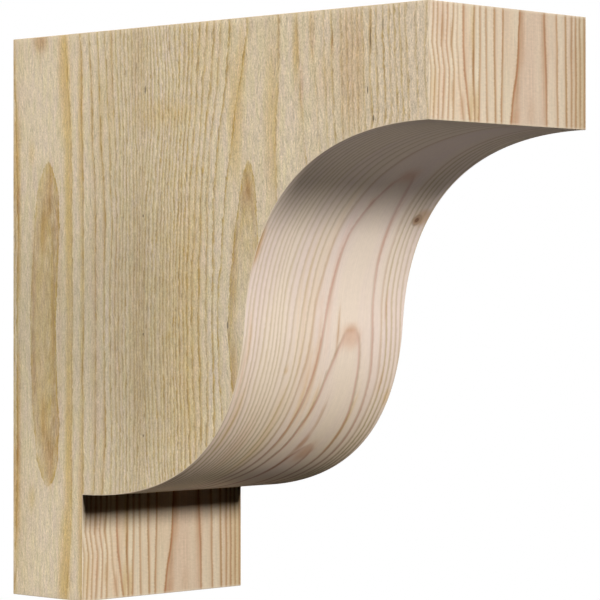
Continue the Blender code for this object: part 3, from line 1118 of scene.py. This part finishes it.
def end_finish(groups, colours):
    """Crosscut wood: darker, with rings round the hearts, open pores and saw scratches."""
    f = Finish("end_grain", groups)
    pores = f.noise(f.place, 2600, 2600, 2.0, 0.6)
    scratches = f.noise(f.place, 60, 1500, 3.0, 0.6, seed=4.0)
    rings = f.rings(f.shake((pores, 0.6)), inner=1.4, outer=0.5, share=0.7, strength=0.8)
    colour = f.tinted(f.blend(rings["Latewood"], colours.end_pale, colours.end_dark))
    tone = f.remap(f.calc("ADD", pores, scratches), 0.7, 1.3, 0.84, 1.12)
    roughness = f.remap(pores, 0.3, 0.7, 0.75, 0.92)
    return f.close(f.shaded(colour, tone), roughness, scratches, 0.12 * MM, colours.pale_edge_and_highlight)


# What a user can change.


def length(name, description, default):
    """A setting in metres."""
    return FloatProperty(
        name=name, description=description, default=default, min=0.0, unit="LENGTH",
        subtype="DISTANCE", precision=5,
    )


def colour(name, description, default):
    """A setting with a colour."""
    return FloatVectorProperty(
        name=name, description=description, default=default, size=4, min=0.0, max=1.0,
        subtype="COLOR",
    )


class CorbelBlockSettings(bpy.types.PropertyGroup):
    """Sizes of the modelled block."""

    edge_ease: length("Edge ease", "How far the long edges are rounded", 0.4 * MM)
    corner_round: length("Corner round", "How far the corners of the outline are rounded", 0.45 * MM)
    edge_band: length("Edge band", "Width of the worn band beside an edge", 1.2 * MM)
    outline_pitch: length("Outline pitch", "Distance between points round the outline", 2.8 * MM)
    column_pitch: length("Column pitch", "Distance between points across the width", 1.5 * MM)
    grain_pitch: length("Grain pitch", "Distance between the sides' columns of points", 0.75 * MM)
    row_pitch: length("Row pitch", "Distance between points up a column", 8.0 * MM)
    relief: length("Raised grain", "How far hard rings stand above soft ones", 0.16 * MM)


class CorbelColourSettings(bpy.types.PropertyGroup):
    """Colours of the wood."""

    side_pale: colour("Side pale", "Soft wood on the sawn side", wood(211, 195, 161))
    side_pink: colour("Side pink", "Pinker soft wood on the sawn side", wood(213, 194, 170))
    side_ochre: colour("Side ochre", "Hard wood on the sawn side, at its yellowest", wood(184, 157, 94))
    side_tan: colour("Side tan", "Hard wood on the sawn side, at its greyest", wood(174, 146, 104))
    side_wash: colour("Side wash", "Broad darker zones on the sawn side", wood(196, 175, 136))
    front_cream: colour("Front cream", "Soft wood on the planed front", wood(235, 217, 189))
    front_pink: colour("Front pink", "Pinker soft wood on the planed front", wood(231, 205, 180))
    front_orange: colour("Front orange", "Hard wood on the planed front", wood(190, 136, 98))
    front_brown: colour("Front brown", "Browner hard wood on the planed front", wood(178, 141, 90))
    s_cream: colour("S cream", "Soft wood on the sanded S", wood(240, 221, 201))
    s_pink: colour("S pink", "Pinker soft wood on the sanded S", wood(237, 216, 203))
    s_red: colour("S red", "Hard wood of the arches on the S", wood(206, 160, 141))
    s_yellow: colour("S yellow", "Yellower hard wood on the S", wood(208, 186, 142))
    s_brown: colour("S brown", "Hard wood beside the arches on the S", wood(192, 166, 137))
    end_pale: colour("End pale", "Soft wood on the end grain", wood(194, 170, 134))
    end_dark: colour("End dark", "Hard wood on the end grain", wood(138, 104, 68))
    knot_halo: colour("Knot halo", "Wood round the knot", wood(200, 160, 118))
    knot_heart: colour("Knot heart", "Middle of the knot", wood(188, 155, 126))
    knot_rim: colour("Knot rim", "Dark rings of the knot", wood(132, 100, 79))
    check: colour("Check", "Small dark splits in the sawn side", wood(92, 80, 62))
    # Paler fresh fibres along the eased edges, made lighter still as a painted highlight.
    pale_edge_and_highlight: colour("Arris", "Fresh fibres along the edges", wood(234, 216, 190))


class CorbelStageSettings(bpy.types.PropertyGroup):
    """Camera and lights."""

    lens: FloatProperty(name="Lens", description="Focal length in millimetres", default=172.55)
    heading: FloatProperty(
        name="Heading", description="Way the camera looks, turned from +Y towards +X",
        default=math.radians(45.98), subtype="ANGLE", unit="ROTATION",
    )
    left_of_side: length("Left of side", "Camera to the visible side, across", 3.370 * HEIGHT)
    out_from_wall: length("Out from wall", "Camera to the wall", 3.976 * HEIGHT)
    above_bottom: length("Above bottom", "Camera above the corbel's lowest point", 0.533 * HEIGHT)
    rise: FloatProperty(name="Rise", description="Vertical shift of the lens", default=-0.0026)
    floor_drop: length("Floor drop", "From the corbel's lowest point to the floor", 1.5)
    floor_size: length("Floor size", "Width of the floor", 40.0)
    key: FloatProperty(name="Key", description="Strength of the light on the front", default=3.2)
    side: FloatProperty(name="Side", description="Strength of the light on the near side", default=3.68)
    under: FloatProperty(name="Under", description="Power of the spot below, in watts", default=94.0)
    under_distance: length("Under distance", "From the top of the corbel down to the spot", 3.0)
    fill: FloatProperty(name="Fill", description="Strength of the lights on hidden faces", default=2.7)
    sky: FloatProperty(name="Sky", description="Strength of the light from all round", default=0.008)


# Operators.


class CORBEL_OT_shape_block(bpy.types.Operator):
    """Models the whole corbel as one block"""

    bl_idname = "corbel.shape_block"
    bl_label = "Shape Block"

    def execute(self, context):
        block = Block(context.scene.corbel_block).to_object("timber_block")
        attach(block, BODY)
        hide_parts(NODE)
        return {"FINISHED"}


class CORBEL_OT_finish_wood(bpy.types.Operator):
    """Gives each surface of the block its own cut of the wood"""

    bl_idname = "corbel.finish_wood"
    bl_label = "Finish Wood"

    def execute(self, context):
        colours = context.scene.corbel_colours
        groups = {
            "rings": growth_ring_group(), "fibre": fibre_group(), "wool": wool_group(),
            "stain_and_shade": stain_group(), "mark": mark_group(),
        }
        block = bpy.data.objects["timber_block"]
        for make in (side_finish, front_finish, s_finish, end_finish):
            block.data.materials.append(make(groups, colours))
        return {"FINISHED"}


class CORBEL_OT_set_stage(bpy.types.Operator):
    """Sets up the floor, the lights and the camera"""

    bl_idname = "corbel.set_stage"
    bl_label = "Set Stage"

    def execute(self, context):
        settings = context.scene.corbel_stage
        make_floor(settings)
        make_sky(context.scene, settings)
        make_lights(settings)
        make_camera(context.scene, settings)
        context.scene.view_settings.view_transform = "Standard"
        return {"FINISHED"}


# The floor looks white to the camera and gives back almost none of the light that falls on it.
FLOOR_COLOUR = (0.001, 0.001, 0.001, 1.0)
WHITE = (1.0, 1.0, 1.0, 1.0)


def make_floor(settings):
    """A plain pale floor far below, since the corbel hangs on a wall."""
    half = settings.floor_size / 2
    level = LOW.z - settings.floor_drop
    mesh = bpy.data.meshes.new("floor")
    corners = [(x * half, y * half, level) for x, y in ((-1, -1), (1, -1), (1, 1), (-1, 1))]
    mesh.from_pydata(corners, [], [(0, 1, 2, 3)])
    material = bpy.data.materials.new("pale_floor")
    material.use_nodes = True
    nodes = Nodes(material.node_tree)
    shader = nodes.tree.nodes["Principled BSDF"]
    shader.inputs["Base Color"].default_value = FLOOR_COLOUR
    shader.inputs["Roughness"].default_value = 0.9
    shader.inputs["Specular IOR Level"].default_value = 0.0
    glow = nodes.add("ShaderNodeEmission", {"Color": WHITE, "Strength": 1.0})
    seen = nodes.add("ShaderNodeLightPath")
    either = nodes.add("ShaderNodeMixShader", {
        0: seen.outputs["Is Camera Ray"], 1: shader.outputs[0], 2: glow.outputs[0],
    })
    nodes.tree.links.new(either.outputs[0], nodes.tree.nodes["Material Output"].inputs["Surface"])
    mesh.materials.append(material)
    floor = bpy.data.objects.new("floor", mesh)
    bpy.context.scene.collection.objects.link(floor)
    floor.visible_shadow = False


def make_sky(scene, settings):
    """White behind the corbel, and only a little light from all round it."""
    world = bpy.data.worlds.new("studio")
    world.use_nodes = True
    nodes = Nodes(world.node_tree)
    background = nodes.tree.nodes["Background"]
    seen = nodes.add("ShaderNodeLightPath")
    strength = nodes.calc("MAXIMUM", seen.outputs["Is Camera Ray"], settings.sky)
    background.inputs["Color"].default_value = WHITE
    nodes.tree.links.new(strength, background.inputs["Strength"])
    scene.world = world


# The distant lamps: which setting and what share of it gives each one's strength, the way its light
# comes from, and how wide it looks in degrees.
LAMPS = {
    "key": ("key", 1.0, (0.0, -0.934, 0.358), 10.0),
    "side": ("side", 1.0, (-0.80, 0.45, 0.40), 12.0),
    "far_side": ("fill", 1.0, (0.85, 0.35, 0.35), 20.0),
    "above": ("fill", 0.35, (0.1, 0.15, 1.0), 30.0),
}
# The spot below: where it aims, out from the wall, and the half width that it lights at the top of the
# corbel, as shares of the reach; how soft its edge is; and its radius in metres.
UNDER_AIM = 0.765
UNDER_SPREAD = 0.46
UNDER_SOFTNESS = 0.15
UNDER_RADIUS = 0.2


def make_lights(settings):
    """Distant soft lights, and one spot from below."""
    for name, (setting, share, come_from, width) in LAMPS.items():
        light = bpy.data.lights.new(name, "SUN")
        light.energy = share * getattr(settings, setting)
        light.angle = math.radians(width)
        lamp = bpy.data.objects.new(name, light)
        lamp.rotation_euler = Vector(come_from).to_track_quat("Z", "Y").to_euler()
        lamp.location = Vector(come_from) * 3
        bpy.context.scene.collection.objects.link(lamp)
    make_under_spot(settings)


def make_under_spot(settings):
    """A narrow spot far below, which lights the hollow of the S and leaves the leg's corner dark."""
    aim = Vector((0, HIGH.y - UNDER_AIM * REACH, HIGH.z))
    spot = bpy.data.lights.new("under", "SPOT")
    spot.energy = settings.under
    spot.spot_size = 2 * math.atan(UNDER_SPREAD * REACH / settings.under_distance)
    spot.spot_blend = UNDER_SOFTNESS
    spot.shadow_soft_size = UNDER_RADIUS
    lamp = bpy.data.objects.new("under", spot)
    lamp.location = aim - Vector((0, 0, settings.under_distance))
    lamp.rotation_euler = (math.pi, 0, 0)
    bpy.context.scene.collection.objects.link(lamp)


def make_camera(scene, settings):
    """A level camera with a long lens, off the corbel's near corner."""
    camera = bpy.data.cameras.new("camera")
    camera.lens = settings.lens
    camera.sensor_width = 36.0
    camera.shift_y = settings.rise
    camera.clip_end = 200.0
    seat = bpy.data.objects.new("camera", camera)
    seat.location = (
        LOW.x - settings.left_of_side,
        HIGH.y - settings.out_from_wall,
        LOW.z + settings.above_bottom,
    )
    seat.rotation_euler = (math.radians(90), 0, -settings.heading)
    scene.collection.objects.link(seat)
    scene.camera = seat


class CORBEL_PT_panel(bpy.types.Panel):
    """The corbel's settings and steps"""

    bl_idname = "CORBEL_PT_panel"
    bl_label = "Corbel"
    bl_space_type = "VIEW_3D"
    bl_region_type = "UI"
    bl_category = "Corbel"

    def draw(self, context):
        scene = context.scene
        for title, group, step in (
            ("Block", scene.corbel_block, CORBEL_OT_shape_block),
            ("Wood", scene.corbel_colours, CORBEL_OT_finish_wood),
            ("Stage", scene.corbel_stage, CORBEL_OT_set_stage),
        ):
            box = self.layout.box()
            box.label(text=title)
            for name in group.__annotations__:
                box.prop(group, name)
            box.operator(step.bl_idname)


CLASSES = (
    CorbelBlockSettings,
    CorbelColourSettings,
    CorbelStageSettings,
    CORBEL_OT_shape_block,
    CORBEL_OT_finish_wood,
    CORBEL_OT_set_stage,
    CORBEL_PT_panel,
)


def register():
    for each in CLASSES:
        bpy.utils.register_class(each)
    bpy.types.Scene.corbel_block = PointerProperty(type=CorbelBlockSettings)
    bpy.types.Scene.corbel_colours = PointerProperty(type=CorbelColourSettings)
    bpy.types.Scene.corbel_stage = PointerProperty(type=CorbelStageSettings)


def unregister():
    del bpy.types.Scene.corbel_stage
    del bpy.types.Scene.corbel_colours
    del bpy.types.Scene.corbel_block
    for each in reversed(CLASSES):
        bpy.utils.unregister_class(each)


def main():
    register()
    bpy.ops.corbel.shape_block()
    bpy.ops.corbel.finish_wood()
    bpy.ops.corbel.set_stage()


if __name__ == "__main__":
    main()
